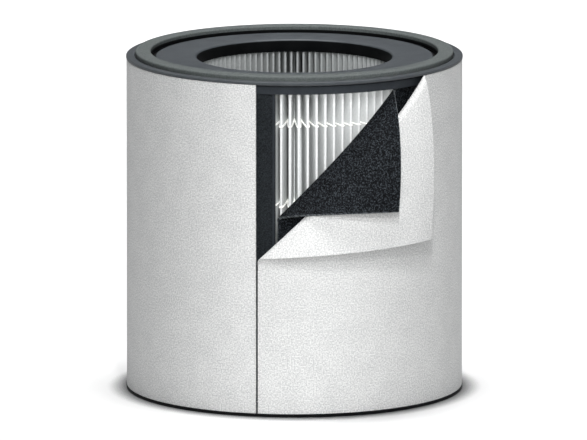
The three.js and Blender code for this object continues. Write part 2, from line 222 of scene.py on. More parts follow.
def add_node(tree, kind, inputs=None, **settings):
    """Add a node, set its properties, and set or link its inputs by name or index."""
    made = tree.nodes.new(kind)
    for key, value in settings.items():
        setattr(made, key, value)
    for key, value in (inputs or {}).items():
        if isinstance(value, bpy.types.NodeSocket):
            tree.links.new(value, made.inputs[key])
        else:
            made.inputs[key].default_value = value
    return made


def new_material(name, **surface):
    """Material with one Principled surface; the rest of its recipe is added to its tree."""
    made = bpy.data.materials.new(name)
    made.use_nodes = True
    shader = made.node_tree.nodes["Principled BSDF"]
    for key, value in surface.items():
        shader.inputs[key.replace("_", " ")].default_value = value
    return made, made.node_tree, shader


def set_ramp(ramp_node, stops):
    """Give a colour ramp its stops: (position, hex colour) pairs."""
    elements = ramp_node.color_ramp.elements
    while len(elements) > 1:
        elements.remove(elements[-1])
    for k, (position, colour) in enumerate(stops):
        element = elements[0] if k == 0 else elements.new(position)
        element.position, element.color = position, linear(colour)


# %% [markdown]
# ### Non-woven fabric
# The pre-filter is needle-punched polyester: fine light fibres laid at random. The eye sees an
# even light grey with a soft mottle one to two millimetres across, where fibres bunch, and a
# dull surface with no gloss. The pattern follows the cloth, so it reads the sheet's own flat
# map, in metres: a noise of scale 900 repeats about every 1.1 mm.

# %% Non-woven polyester
fabric_skin, tree, shader = new_material("nonwoven_polyester", Roughness=0.95)
shader.inputs["Specular IOR Level"].default_value = 0.2
shader.inputs["Sheen Weight"].default_value = 0.15
flat_map = add_node(tree, "ShaderNodeUVMap", uv_map="flat").outputs["UV"]
bunches = add_node(tree, "ShaderNodeTexNoise",
                   {"Vector": flat_map, "Scale": 900, "Detail": 2, "Roughness": 0.6})
clouds = add_node(tree, "ShaderNodeTexNoise",
                  {"Vector": flat_map, "Scale": 60, "Detail": 2, "Roughness": 0.5})
tone = add_node(tree, "ShaderNodeMath",
                {0: clouds.outputs["Fac"], 1: 0.12, 2: bunches.outputs["Fac"]},
                operation="MULTIPLY_ADD")
ramp = add_node(tree, "ShaderNodeValToRGB", {"Fac": tone.outputs[0]})
set_ramp(ramp, [(0.42, "a4a6a6"), (0.56, "bababa"), (0.7, "cecfcd")])
tree.links.new(ramp.outputs["Color"], shader.inputs["Base Color"])
fibres = add_node(tree, "ShaderNodeTexNoise",
                  {"Vector": flat_map, "Scale": 1500, "Detail": 3, "Roughness": 0.7})
relief = add_node(tree, "ShaderNodeBump",
                  {"Height": fibres.outputs["Fac"], "Strength": 0.5, "Distance": 0.00025})
tree.links.new(relief.outputs["Normal"], shader.inputs["Normal"])

# %% [markdown]
# ### Sheet with activated carbon
# Grains of carbon about 0.7 mm across are held between black fibres. The sheet is almost
# black. A cell pattern gives each grain a tone of its own, and a ramp paints a few of them
# light grey: painted glints of grains that catch the light. Near a cut edge some grains have fallen
# out and
# pale fibres show: the flat map gives the distance from the two cut sides, in metres.

# %% Activated-carbon sheet
carbon_skin, tree, shader = new_material("activated_carbon_sheet", Roughness=0.8)
shader.inputs["Specular IOR Level"].default_value = 0.1
shader.inputs["Sheen Weight"].default_value = 0.05
shader.inputs["Sheen Roughness"].default_value = 0.25
flat_map = add_node(tree, "ShaderNodeUVMap", uv_map="flat").outputs["UV"]
grains = add_node(tree, "ShaderNodeTexVoronoi", {"Vector": flat_map, "Scale": 1500})
grain_tone = add_node(tree, "ShaderNodeSeparateColor", {"Color": grains.outputs["Color"]})
patches = add_node(tree, "ShaderNodeTexNoise",
                   {"Vector": flat_map, "Scale": 900, "Detail": 2, "Roughness": 0.6})
shine = add_node(tree, "ShaderNodeMath",
                 {0: grain_tone.outputs[0], 1: patches.outputs["Fac"]}, operation="MULTIPLY")
ramp = add_node(tree, "ShaderNodeValToRGB", {"Fac": shine.outputs[0]})
# The ramp's lightest stop is a painted glint on a few grains.
set_ramp(ramp, [(0.03, "020304"), (0.15, "08090b"), (0.3, "131619"), (0.5, "32363a")])
sides = add_node(tree, "ShaderNodeSeparateXYZ", {"Vector": flat_map})
to_edge = add_node(tree, "ShaderNodeMath", {0: sides.outputs["X"], 1: sides.outputs["Y"]},
                   operation="MINIMUM")
FRAYED_DEPTH = 0.0009
torn = add_node(tree, "ShaderNodeMath",
                {0: grain_tone.outputs[1], 1: -FRAYED_DEPTH, 2: to_edge.outputs[0]},
                operation="MULTIPLY_ADD")
frayed = add_node(tree, "ShaderNodeMapRange", {"Value": torn.outputs[0], "From Min": -0.0007,
                                               "From Max": 0.0, "To Min": 0.5, "To Max": 0.0})
skin_colour = add_node(tree, "ShaderNodeMix",
                       {"Factor": frayed.outputs["Result"], 6: ramp.outputs["Color"],
                        7: linear("7c8285")}, data_type="RGBA")
tree.links.new(skin_colour.outputs[2], shader.inputs["Base Color"])
relief = add_node(tree, "ShaderNodeBump",
                  {"Height": shine.outputs[0], "Strength": 0.8, "Distance": 0.0004})
tree.links.new(relief.outputs["Normal"], shader.inputs["Normal"])

# %% [markdown]
# ### Pleated filter media
# The fine media is a felt of glass or melt-blown fibres, bright white and completely dull. It
# lets some light through, so the valleys between the pleats stay light grey rather than black.
# On the side of the core it is backed by a scrim of grey spun fibres, which keeps its folds
# stiff: the same recipe in a darker tone.

# %% Melt-blown filter media and its scrim
FELTS = {"meltblown_media": ("d2d4d4", "dee0e0"), "spunbond_scrim": ("989c9c", "a8abab")}
felts = {}
for name, (dark, light) in FELTS.items():
    felts[name], tree, shader = new_material(name, Roughness=0.9)
    shader.inputs["Specular IOR Level"].default_value = 0.2
    place = add_node(tree, "ShaderNodeTexCoord").outputs["Object"]
    felt = add_node(tree, "ShaderNodeTexNoise",
                    {"Vector": place, "Scale": 500, "Detail": 3, "Roughness": 0.6})
    ramp = add_node(tree, "ShaderNodeValToRGB", {"Fac": felt.outputs["Fac"]})
    set_ramp(ramp, [(0.3, dark), (0.7, light)])
    tree.links.new(ramp.outputs["Color"], shader.inputs["Base Color"])
    relief = add_node(tree, "ShaderNodeBump",
                      {"Height": felt.outputs["Fac"], "Strength": 0.3, "Distance": 0.0002})
    tree.links.new(relief.outputs["Normal"], shader.inputs["Normal"])
media_skin, scrim_skin = felts["meltblown_media"], felts["spunbond_scrim"]

# %% [markdown]
# ### Hot-melt glue
# The beads that keep the pleats apart, and the potting in the caps, are off-white hot-melt.
# It sets with a smooth skin, so it is glossier than everything round it. It is milky and passes
# light on; that light is painted as a glow: an emission keeps threads deep between the pleats bright.

# %% Hot-melt glue
glue_skin, tree, shader = new_material("hot_melt_glue", Roughness=0.35)
shader.inputs["IOR"].default_value = 1.48
# Painted glow: the glue gives off light of its own, though it is no lamp.
shader.inputs["Emission Color"].default_value = linear("fbfbf8")
shader.inputs["Emission Strength"].default_value = 0.5
place = add_node(tree, "ShaderNodeTexCoord").outputs["Object"]
haze = add_node(tree, "ShaderNodeTexNoise", {"Vector": place, "Scale": 300, "Detail": 2})
ramp = add_node(tree, "ShaderNodeValToRGB", {"Fac": haze.outputs["Fac"]})
set_ramp(ramp, [(0.3, "f1f1ec"), (0.7, "fdfdfa")])
tree.links.new(ramp.outputs["Color"], shader.inputs["Base Color"])

# %% [markdown]
# ### Moulded plastics
# The caps and staves are ABS from a spark-eroded mould, which leaves a grain of about 0.7 mm:
# no clear reflection, only a soft brightening where light grazes. The top cap is mid grey, the
# cage with its staves dark grey and the bottom cap nearly black. One recipe is used for all
# three, with a dark and a light tone, a roughness and a specular level.

# %% Spark-grained ABS in three greys
MOULDED = {
    "abs_mid_grey": ("32363a", "3d4144", 0.55, 0.45),
    "abs_dark_grey": ("24272b", "2b2f33", 0.7, 0.18),
    "abs_black": ("08090a", "0e0f10", 0.6, 0.15),
}
moulded = {}
for name, (dark, light, roughness, gloss) in MOULDED.items():
    moulded[name], tree, shader = new_material(name, Roughness=roughness)
    shader.inputs["Specular IOR Level"].default_value = gloss
    shader.inputs["IOR"].default_value = 1.53
    place = add_node(tree, "ShaderNodeTexCoord").outputs["Object"]
    grain = add_node(tree, "ShaderNodeTexNoise",
                     {"Vector": place, "Scale": 1400, "Detail": 2, "Roughness": 0.6})
    flow = add_node(tree, "ShaderNodeTexNoise",
                    {"Vector": place, "Scale": 90, "Detail": 3, "Roughness": 0.6})
    tone = add_node(tree, "ShaderNodeMath",
                    {0: grain.outputs["Fac"], 1: 0.6, 2: flow.outputs["Fac"]},
                    operation="MULTIPLY_ADD")
    ramp = add_node(tree, "ShaderNodeValToRGB", {"Fac": tone.outputs[0]})
    set_ramp(ramp, [(0.6, dark), (1.0, light)])
    tree.links.new(ramp.outputs["Color"], shader.inputs["Base Color"])
    relief = add_node(tree, "ShaderNodeBump",
                      {"Height": grain.outputs["Fac"], "Strength": 0.35, "Distance": 0.0002})
    tree.links.new(relief.outputs["Normal"], shader.inputs["Normal"])

# %% [markdown]
# ### Sealing foam
# The raised rim is poured polyurethane foam. Its skin is dull and finely speckled by the cells
# just under it, which are about a millimetre across.

# %% Poured polyurethane foam
foam_skin, tree, shader = new_material("polyurethane_foam", Roughness=0.85)
shader.inputs["Specular IOR Level"].default_value = 0.3
place = add_node(tree, "ShaderNodeTexCoord").outputs["Object"]
cells = add_node(tree, "ShaderNodeTexNoise",
                 {"Vector": place, "Scale": 900, "Detail": 3, "Roughness": 0.7})
ramp = add_node(tree, "ShaderNodeValToRGB", {"Fac": cells.outputs["Fac"]})
set_ramp(ramp, [(0.35, "424646"), (0.65, "585d5c")])
tree.links.new(ramp.outputs["Color"], shader.inputs["Base Color"])
relief = add_node(tree, "ShaderNodeBump",
                  {"Height": cells.outputs["Fac"], "Strength": 0.4, "Distance": 0.0003})
tree.links.new(relief.outputs["Normal"], shader.inputs["Normal"])

# %% [markdown]
# ### Fastening tape
# The fabric is held by hook tape on the staves, and by a strip of loop tape on its fixed end.
# The tape is woven nylon: dull, with a fine fuzz that reads as noise.

# %% Woven nylon tape
tape_skins = {}
for name, (dark, light) in {"nylon_hook_tape": ("0d0f11", "2a2e31"),
                            "nylon_loop_tape": ("b4b7b7", "d2d4d4")}.items():
    tape_skins[name], tree, shader = new_material(name, Roughness=0.85)
    shader.inputs["Specular IOR Level"].default_value = 0.15
    place = add_node(tree, "ShaderNodeTexCoord").outputs["Object"]
    fuzz = add_node(tree, "ShaderNodeTexNoise",
                    {"Vector": place, "Scale": 1000, "Detail": 3, "Roughness": 0.7})
    ramp = add_node(tree, "ShaderNodeValToRGB", {"Fac": fuzz.outputs["Fac"]})
    set_ramp(ramp, [(0.35, dark), (0.65, light)])
    tree.links.new(ramp.outputs["Color"], shader.inputs["Base Color"])

# %% [markdown]
# ## End caps
# Each cap is one injection moulding, a body of revolution with small rounded edges. A profile
# of radius and height is drawn once and carried round the axis. The top cap has, from outside
# to inside: a flange, a seat for the sealing rim, a groove, a flat deck, and a collar that
# guides the air into the core.

# %% Top cap, sealing rim and bottom cap
SEAT_Z, GROOVE_Z = Z_FLANGE - 2.4, Z_FLANGE - 3.7
SHOULDER_Z = SEAT_Z - 1.2
TONGUE_R = CAGE_IN - GAP
GROOVE_R = RIM_IN - 4.0
GROOVE_OUT_R = RIM_OUT + 0.7
top_profile = fillet([
    (OPENING_R, Z_COLLAR), (OPENING_R + WALL, Z_COLLAR), (OPENING_R + WALL, Z_PLATE),
    (TONGUE_R, Z_PLATE), (TONGUE_R, SHOULDER_Z), (CAGE_R, SHOULDER_Z), (CAGE_R, Z_UNDER),
    (FLANGE_R, Z_UNDER), (FLANGE_R, Z_FLANGE), (GROOVE_OUT_R, Z_FLANGE),
    (GROOVE_OUT_R, SEAT_Z), (RIM_IN, SEAT_Z), (RIM_IN, GROOVE_Z), (GROOVE_R, GROOVE_Z),
    (GROOVE_R, Z_DECK), (OPENING_R, Z_DECK),
], [0.5, 0.5, 0.8, 0.5, 0.4, 0.4, 0.4, 0.4, 0.7, 0.4, 0.2, 0.3, 0.3, 0.5, 0.6, 2.0])
top_cap = turned_ring("moulded_top_cap", top_profile)
# Top of the painted shade on the foot of the rim's inner side.
RIM_SHADE_Z = Z_DECK + 1.7
rim = turned_ring("foam_sealing_rim", fillet([
    (RIM_IN, SEAT_Z + GAP), (RIM_OUT, SEAT_Z + GAP), (RIM_OUT, Z_RIM), (RIM_IN, Z_RIM),
    (RIM_IN, RIM_SHADE_Z),
], [0.3, 0.3, 1.5, 1.5, 0.1], steps=7))
UPSTAND_Z = media_low[2] - GAP
UPSTAND_IN = TONGUE_R - 2.2
LOW_COLLAR_Z = LIP + 9.8
LEDGE_IN, LEDGE_Z0, LEDGE_Z1 = OPENING_R - 3.4, 1.9, 3.3
bottom_cap = turned_ring("moulded_bottom_cap", fillet([
    (OPENING_R, 0), (FLANGE_R, 0), (FLANGE_R, LIP), (TONGUE_R, LIP), (TONGUE_R, UPSTAND_Z),
    (UPSTAND_IN, UPSTAND_Z), (UPSTAND_IN, LIP), (OPENING_R + WALL, LIP),
    (OPENING_R + WALL, LOW_COLLAR_Z), (OPENING_R, LOW_COLLAR_Z), (OPENING_R, LEDGE_Z1),
    (LEDGE_IN, LEDGE_Z1), (LEDGE_IN, LEDGE_Z0), (OPENING_R, LEDGE_Z0),
], [0.2, 0.4, 0.4, 0.4, 0.5, 0.5, 0.5, 0.5, 0.5, 0.5, 0.4, 0.3, 0.3, 0.3]))
for made, node_name, slot, skin in (
        (top_cap, "top_cap", "grey_plastic", moulded["abs_mid_grey"]),
        (rim, "rim_seal", "seal_foam", foam_skin),
        (bottom_cap, "bottom_cap", "black_plastic", moulded["abs_black"])):
    made.data.materials.append(skin)
    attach(made, "drum")
    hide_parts(node_name)

# %% [markdown]
# The collar's inner wall, the groove beside the rim and the foot of the rim's inner side lie in
# deep shade, and that shade is painted: they get the black recipe, while the grained faces look
# grey. It is a second material slot, given to the faces whose centres lie on those radii, under
# the rounded edges. The rim's profile has one more corner on its inner side, which is where its
# painted dark foot ends.


# %% Painted shade: black collar wall, groove and foot of the rim
def paint_shade_black(piece, chosen):
    """Paint shade: give the black recipe to the faces that a test of their centre's radius and level
    picks.
    """
    piece.data.materials.append(moulded["abs_black"])
    centres = np.zeros(len(piece.data.polygons) * 3)
    piece.data.polygons.foreach_get("center", centres)
    x, y, level = centres.reshape(-1, 3).T / MM
    black = chosen(np.hypot(x, y), level)
    piece.data.polygons.foreach_set("material_index", black.astype(np.int32))
    print(int(black.sum()), "faces of", piece.name, "are black")


def shaded_collar_or_groove(radius, level):
    """Faces in painted shade: under the collar's rounded edge, or between the groove's two sides and
    its bottom.
    """
    collar = (radius < OPENING_R + 0.4) & (level < Z_DECK - 1.0)
    across = (radius > GROOVE_R - 0.2) & (radius < RIM_IN + 0.2)
    return collar | across & (level > GROOVE_Z - 0.2) & (level < Z_DECK - 0.4)


paint_shade_black(top_cap, shaded_collar_or_groove)
# Painted shade on the foot of the rim's inner side.
paint_shade_black(rim, lambda radius, level: (radius < RIM_IN + 0.2) & (level < RIM_SHADE_Z))

# %% [markdown]
# Two plain rings and four staves make a cage. The rings sit under the flange and on the
# bottom cap's lip, and what shows of the upper one is the dark band over the pleats.

# %% Rings of the cage
lower_low, lower_high = box_mm("cage_ring_bottom")
for name, node_name, low, high in (
        ("upper_cage_ring", "cage_ring_top", ring_low[2], ring_high[2]),
        ("lower_cage_ring", "cage_ring_bottom", lower_low[2], lower_high[2])):
    corners = [(CAGE_IN, low), (CAGE_R, low), (CAGE_R, high), (CAGE_IN, high)]
    made = turned_ring(name, fillet(corners, 0.5))
    made.data.materials.append(moulded["abs_dark_grey"])
    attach(made, "drum")
    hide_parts(node_name)

# %% [markdown]
# The core is closed at the bottom by a separate disc, stiffened on its upper side by ribs like
# the spokes of a wheel and by a round boss. As a height above the disc's underside that is a
# function of radius and angle, it is one grid with the highest point of disc, boss and ribs.

# %% Closing disc
DISC_R, DISC_T = OPENING_R - GAP, 1.6
BOSS_R, BOSS_H = 12.0, 2.0
RIBS, RIB_W, RIB_H, RIB_END = 8, 2.4, 1.4, 64
radii = np.concatenate([np.linspace(2, BOSS_R - 1, 6), np.linspace(BOSS_R - 0.6, BOSS_R + 1.4, 8),
                        np.linspace(16, 60, 24), np.linspace(61, 66, 10),
                        np.linspace(67, DISC_R, 6)])
spokes = np.arange(576) * 360 / 576
R, A = np.meshgrid(radii, spokes, indexing="ij")
off_rib = np.abs((A + 180 / RIBS) % (360 / RIBS) - 180 / RIBS) * math.pi / 180 * R
rib = RIB_H * np.clip((RIB_W / 2 + 0.4 - off_rib) / 0.6, 0, 1) * np.clip((RIB_END - R) / 2, 0, 1)
boss = BOSS_H * np.clip((BOSS_R + 1 - R) / 1.2, 0, 1)
top_side = on_arc(R, A, DISC_T + np.maximum(rib, boss)).reshape(-1, 3)
low_side = on_arc(R, A, np.zeros_like(R)).reshape(-1, 3)
rows, cols = R.shape
shift = rows * cols
upper = grid_quads(rows, cols, close_cols=True)
lower = upper[:, ::-1] + shift
hub, edge = np.arange(cols), np.arange(cols) + (rows - 1) * cols
next_hub, next_edge = np.roll(hub, -1), np.roll(edge, -1)
around = np.stack([next_edge, edge, edge + shift, next_edge + shift], 1)
middle = np.full(cols, 2 * shift)
poles = np.concatenate([np.stack([hub, next_hub, middle], 1),
                        np.stack([next_hub + shift, hub + shift, middle + 1], 1)])
disc = make_piece("closing_disc_with_ribs",
                  np.concatenate([top_side, low_side, [(0, 0, DISC_T + BOSS_H), (0, 0, 0)]]),
                  np.concatenate([upper, lower, around]), triangles=poles)
disc.data.materials.append(moulded["abs_black"])
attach(disc, "drum")
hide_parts("closing_disc")

# %% [markdown]
# ## Pleated media
# The strip is folded back and forth 105 times. Seen from above its path is a star: a small arc
# at each outer fold, a straight flank, a smaller arc at each inner fold. Both faces of the
# strip follow the same path with arcs of different radius, which gives the paper its
# thickness. A real strip isn't perfect: each pleat leans a little and its flanks wander by a
# few hundredths of a millimetre over the height: both are added with seeded random numbers.

# %% Pleat path
PLEATS = 105
PAPER_T = 0.55
TIP_R, ROOT_R = 1.0, 0.85
ARC = np.radians(np.linspace(-82, 82, 9))
ARC_IN = np.radians(np.linspace(-80, 80, 5))


def pleat_face(tip_r, root_r):
    """Sideways offset and radius of one pleat's face, from its peak's left to the next valley.

    The peak is an arc of radius tip_r about a centre under the outer fold, and the valley an
    arc of radius root_r about a centre over the inner fold, half a pitch further round.
    """
    peak = np.stack([tip_r * np.sin(ARC), MEDIA_R - TIP_R + tip_r * np.cos(ARC), 0 * ARC], 1)
    down = np.linspace(0, 1, 4)[1:-1]
    valley = np.stack([-root_r * np.sin(-ARC_IN), MEDIA_IN + ROOT_R - root_r * np.cos(ARC_IN),
                       0 * ARC_IN + 0.5], 1)
    first = peak[-1] + (valley[0] - peak[-1]) * down[:, None]
    next_peak = peak[0] + [0, 0, 1]
    second = valley[-1] + (next_peak - valley[-1]) * down[:, None]
    return np.concatenate([peak, first, valley, second])


LEAN, WANDER, WAVES = 0.04, 0.02, 1.5
rng = np.random.default_rng(11)
lean = rng.normal(0, LEAN, PLEATS)
wander = rng.normal(0, WANDER, PLEATS)
phase = rng.uniform(0, 2 * math.pi, PLEATS)


def pleat_rows(face, heights):
    """Points of a face at several heights: angle = pleat + offset / radius, plus its wander.

    The strip is turned by half a pitch, so that a valley faces the front. Lean and wander
    fade to nothing at both ends, as the sine of the share of the height.
    """
    number = np.arange(PLEATS)[:, None] + face[None, :, 2]
    k = np.round(number).astype(int) % PLEATS
    radius = np.broadcast_to(face[None, :, 1], number.shape)
    z = np.asarray(heights)[:, None, None]
    share = (z - media_low[2]) / (media_high[2] - media_low[2])
    swing = wander[k] * np.sin(2 * math.pi * WAVES * share + phase[k])
    sideways = face[None, :, 0] + (lean[k] + swing) * np.sin(math.pi * share)
    degrees = (number + 0.5) * 360 / PLEATS + np.degrees(sideways / radius)
    return on_arc(radius, degrees, z).reshape(len(heights), -1, 3)


# %% Build the strip
heights = np.linspace(media_low[2], media_high[2], 15)
front = pleat_rows(pleat_face(TIP_R, ROOT_R - PAPER_T), heights)
back = pleat_rows(pleat_face(TIP_R - PAPER_T, ROOT_R), heights)
rows, cols = front.shape[:2]
face_quads = grid_quads(rows, cols, close_cols=True)
ring = np.arange(cols)
ahead = np.roll(ring, -1)
last = (rows - 1) * cols
shift = rows * cols
foot = np.stack([ahead, ring, ring + shift, ahead + shift], 1)
crown = foot[:, ::-1] + last
strip = make_piece("pleated_strip", np.concatenate([front.reshape(-1, 3), back.reshape(-1, 3)]),
                   np.concatenate([face_quads[:, ::-1], face_quads + shift, foot, crown]), sharp=70)
strip.data.materials.append(media_skin)
strip.data.materials.append(scrim_skin)
inner_side = np.repeat([0, 1, 0], [len(face_quads), len(face_quads), 2 * cols])
strip.data.polygons.foreach_set("material_index", inner_side.astype(np.int32))
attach(strip, "drum")
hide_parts("pleated_media")

# %% [markdown]
# ## Glue beads
# Before the strip is folded, threads of hot-melt are laid across it. After folding, each
# thread runs over every outer fold and down both flanks at one height, and keeps neighbouring
# pleats apart. A bead is therefore a thin tube along the same path, standing on the paper.


# %% Beads that follow the folds
BEAD_R, SAG, SAG_STEP = 0.5, 0.15, 0.7


def bead(name, height):
    """Tube of six sides along the strip's front face at one height.

    Each ring of the tube is spread in the outward normal of the path, which is its tangent
    turned by a quarter, and in z. Its centre stands half a radius above the paper. The tube
    thins out towards the inner fold, where the glue is squeezed flat, and it sags a little
    up and down along its way.
    """
    path = pleat_rows(pleat_face(TIP_R, ROOT_R - PAPER_T), [height])[0]
    along = np.roll(path, -1, axis=0) - np.roll(path, 1, axis=0)
    along /= np.linalg.norm(along, axis=1)[:, None]
    out = np.stack([along[:, 1], -along[:, 0], 0 * along[:, 0]], 1)
    turn = np.radians(np.arange(6) * 60)
    depth = np.hypot(path[:, 0], path[:, 1]) - MEDIA_IN
    size = BEAD_R * np.clip(0.2 + depth / 6, 0.2, 1)[:, None, None]
    sag = SAG * np.sin(np.arange(len(path)) * SAG_STEP)[:, None, None] * [0, 0, 1]
    points = (path[:, None] + out[:, None] * size * (np.cos(turn) + 0.5)[None, :, None]
              + np.array([0, 0, 1]) * size * np.sin(turn)[None, :, None] + sag)
    return make_piece(name, points, grid_quads(len(path), 6, True, True), sharp=80)


for k in range(1, 5):
    low, high = box_mm(f"glue_bead_{k}")
    made = bead(f"separator_bead_{k}", (low[2] + high[2]) / 2)
    made.data.materials.append(glue_skin)
    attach(made, "drum")
    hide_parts(f"glue_bead_{k}")

# %% [markdown]
# ## Staves and tape
# The front stave is a moulded bar under the seam. Its edges are rounded, and it carries the
# hook tape, whose surface is a lattice of tiny hooks in diagonal rows 1.8 mm apart. The
# lattice is made as relief in the mesh: a product of two waves that run along the diagonals.


# %% Front stave and its hook tape
def with_close_ends(values, near):
    """A row of values with five closer steps over the distance near at each of its two ends."""
    ends = np.array([0, 0.15, 0.4, 0.7, 1.0]) * near
    middle = values[(values > values[0] + near) & (values < values[-1] - near)]
    return np.unique(np.concatenate([values[0] + ends, middle, values[-1] - ends]))


def bar(name, radius_in, radius_out, degrees, levels, relief=None, size=(12, 60), soft=0.6):
    """Curved bar: an outer and an inner grid over angle and height, closed all round.

    soft rounds the outer grid's edges: points within that distance of the edge drop inwards
    along a quarter of a circle.
    """
    mm_per_degree = math.radians(1) * radius_out
    a = with_close_ends(np.linspace(degrees[0], degrees[1], size[0]), soft / mm_per_degree)
    z = with_close_ends(np.linspace(levels[0], levels[1], size[1]), soft)
    A, Z = np.meshgrid(a, z, indexing="ij")
    edge = np.minimum(np.minimum(A - a[0], a[-1] - A) * mm_per_degree,
                      np.minimum(Z - z[0], z[-1] - Z))
    drop = soft - np.sqrt(np.maximum(soft ** 2 - np.maximum(soft - edge, 0) ** 2, 0))
    lift = relief(A, Z) * np.clip(edge / soft, 0, 1) if relief else 0
    over, under = on_arc(radius_out - drop + lift, A, Z), on_arc(radius_in + 0 * A, A, Z)
    return make_piece(name, *closed_shell(over, under))


SEAM_AT = -12.5
STAVE_IN = 117.3
STAVE_FROM = SEAM_AT - math.degrees(9.8 / CAGE_R)
STAVE_TO = SEAM_AT + math.degrees(11.9 / CAGE_R)
MARGIN = math.degrees(1.7 / CAGE_R)   # stave left bare on each side of its tape
tape_low, tape_high = box_mm("hook_tape_front")
TAPE_T = 1.1
HOOK_PITCH, HOOK_H, HOOK_SINK = 1.8, 0.6, 0.62


def hook_lattice(A, Z):
    """Relief of the hooks: the product of two waves along the +45 and -45 degree diagonals.

    The whole relief is sunk by a little more than its height, so that it stays inside the
    tape's own thickness.
    """
    s = np.radians(A) * CAGE_R
    wave = 2 * math.pi / HOOK_PITCH / math.sqrt(2)
    return HOOK_H * np.abs(np.sin((s + Z) * wave / 2) * np.sin((s - Z) * wave / 2)) - HOOK_SINK


stave = bar("front_stave", STAVE_IN, CAGE_R - TAPE_T - GAP, (STAVE_FROM, STAVE_TO),
            (LIP + CAGE_DEPTH + GAP, Z_CAGE - GAP))
tape = bar("front_hook_tape", CAGE_R - TAPE_T, CAGE_R,
           (STAVE_FROM + MARGIN, STAVE_TO - MARGIN), (tape_low[2], tape_high[2]),
           relief=hook_lattice, size=(46, 600), soft=0.25)
for made, node_name, slot, skin in (
        (stave, "stave_front", "stave_plastic", moulded["abs_dark_grey"]),
        (tape, "hook_tape_front", "hook_tape", tape_skins["nylon_hook_tape"])):
    made.data.materials.append(skin)
    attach(made, "drum")
    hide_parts(node_name)

# %% [markdown]
# ## Sheets with a turned-back corner
# Both sheets are cut as rectangles and wrapped round the drum, and the corner at the seam is
# turned back over the sheet itself. In the flat, the fold is a straight line from a point on
# the top edge to a point on the upright edge. Every point of the corner has a distance t from
# that line. Carried up to the drum, the sheet first bends round a roll of a few millimetres,
# then runs back in a shallow curve. The same two measures, along and across the fold, place
# the point on the drum, so both sheets and both of their parts come from one function.

# %% The two folds
CARBON_CLEAR = math.degrees(2.0 / CARBON_R)   # from the stave to the sheet's ends

# R, T: radius and thickness on the drum. at: angle of the upright edge. top, z0: levels.
# a, b: sides of the corner, along the top edge and down the upright edge.
# roll: radius of the bend at the top edge and at the upright edge. short: degrees that the
# bend lacks to a half turn. curl: turn for each mm past the bend, one over its radius.
# reach: factor on the way past the bend. lean: drift along the fold for each mm past it.
FOLDS = {
    "fabric": dict(R=FABRIC_R, T=FABRIC_T, at=SEAM_AT, top=FABRIC_Z1, z0=FABRIC_Z0,
                   a=144.9, b=145.4,
                   roll=(3.4, 5.8), short=19.8, curl=0.0039, reach=0.91, lean=-0.085),
    "carbon": dict(R=CARBON_R, T=CARBON_T, at=STAVE_TO + CARBON_CLEAR, top=CARBON_Z1,
                   z0=CARBON_Z0, a=101.3, b=101.9,
                   roll=(5.6, 2.8), short=58.0, curl=0.0115, reach=1.07, lean=0.057),
}


def turned_back(fold, t, q):
    """Point of a turned-back sheet at t across the fold and q along it, in millimetres.

    Angle of travel grows as t / roll up to the bend's full angle, then by curl for each mm.
    Across and height are the sums of the cosine and sine of that angle along the way: closed
    forms of a circle of radius roll and then of a circle of radius 1 / curl.
    """
    long = math.hypot(fold["a"], fold["b"])
    ex, ey = -fold["a"] / long, fold["b"] / long
    nx, ny = fold["b"] / long, fold["a"] / long
    rho = fold["roll"][0] + (fold["roll"][1] - fold["roll"][0]) * np.clip(q / long, -0.2, 1.2)
    bend = math.pi - math.radians(fold["short"])
    rolled = rho * bend
    angle = np.minimum(t, rolled) / rho
    beyond = np.maximum(t - rolled, 0)
    end = bend + beyond * fold["curl"]
    across = -rho * np.sin(angle) + fold["reach"] * (math.sin(bend) - np.sin(end)) / fold["curl"]
    height = rho * (1 - np.cos(angle)) + (math.cos(bend) - np.cos(end)) / fold["curl"]
    along = q + fold["lean"] * beyond
    u, v = fold["a"] + along * ex, along * ey
    degrees = fold["at"] + np.degrees(u / fold["R"] + across * nx / (fold["R"] + height))
    return on_arc(fold["R"] + height, degrees, fold["top"] - v - across * ny)


def offset_pair(points, thickness):
    """Grids half a thickness over and under a surface, along the normals of its cells.

    The normal at a point is the cross product of the differences along the two directions.
    """
    across = np.gradient(points, axis=0)
    along = np.gradient(points, axis=1)
    normal = np.cross(across, along)
    normal /= np.maximum(np.linalg.norm(normal, axis=-1, keepdims=True), 1e-9)
    return points + normal * thickness / 2, points - normal * thickness / 2


def sheet_piece(name, middle, flat, thickness):
    """Closed sheet round a middle surface, with its flat coordinates as a UV map."""
    over, under = offset_pair(middle, thickness)
    points, quads = closed_shell(over, under)
    uv = np.concatenate([flat.reshape(-1, 2)] * 2)
    return make_piece(name, points, quads, uv=uv, sharp=50)


# %% Corner pieces
def corner_piece(name, fold, rows=90, cols=90):
    """The triangle beyond the fold, from the fold (t = 0) to the sheet's corner.

    Half of the rows lie in the first 18 mm, where the sheet bends. The last row stops a
    quarter of a millimetre before the corner, because a row of no length has no normals.
    """
    long = math.hypot(fold["a"], fold["b"])
    bent, last = 18.0, fold["a"] * fold["b"] / long - 0.25
    t = np.concatenate([np.linspace(0, bent, rows // 2, endpoint=False),
                        np.linspace(bent, last, rows // 2)])
    T, S = np.meshgrid(t, np.linspace(0, 1, cols), indexing="ij")
    q0, q1 = T * fold["a"] / fold["b"], long - T * fold["b"] / fold["a"]
    Q = q0 + (q1 - q0) * S
    flat_u = fold["a"] * (1 - Q / long) - T * fold["b"] / long
    flat_v = fold["b"] * Q / long - T * fold["a"] / long
    middle = turned_back(fold, T, Q)
    return sheet_piece(name, middle, np.stack([flat_u, flat_v], -1), fold["T"])


